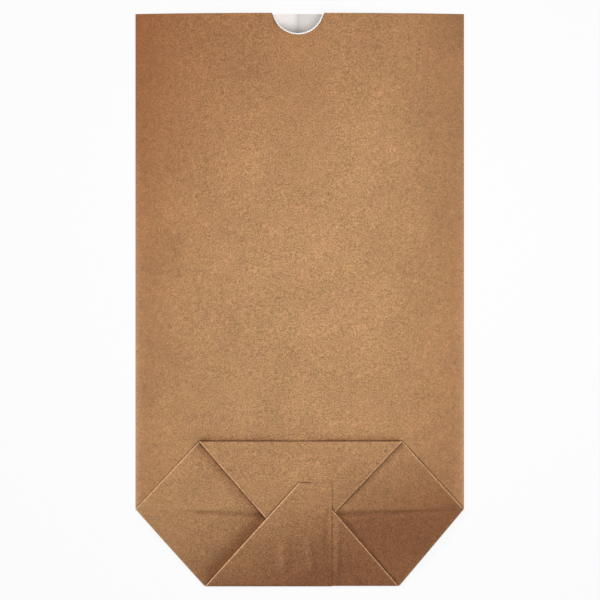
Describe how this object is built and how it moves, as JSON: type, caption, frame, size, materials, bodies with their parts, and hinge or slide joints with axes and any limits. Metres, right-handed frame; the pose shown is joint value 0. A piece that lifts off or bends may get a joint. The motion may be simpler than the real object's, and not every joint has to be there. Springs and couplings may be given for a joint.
{
  "type": "paper lunch bag",
  "caption": "Flat brown kraft paper lunch bag with a white inside, a cross-folded base and a pinked thumb notch at the mouth, lying on its back.",
  "frame": {"origin": "middle of the bag's outline, on the flat surface it lies on", "axes": "+X to the right as seen from the front, +Y from the folded base up to the open mouth, +Z out of the front panel, up when the bag lies on its back"},
  "size_m": [0.155, 0.27, 0.0077],
  "materials": {
    "kraft_paper": "matt unbleached kraft paper outside, white paper ply inside"
  },
  "bodies": {
    "root": {"paper_bag": "kraft_paper"}
  },
  "joints": []
}
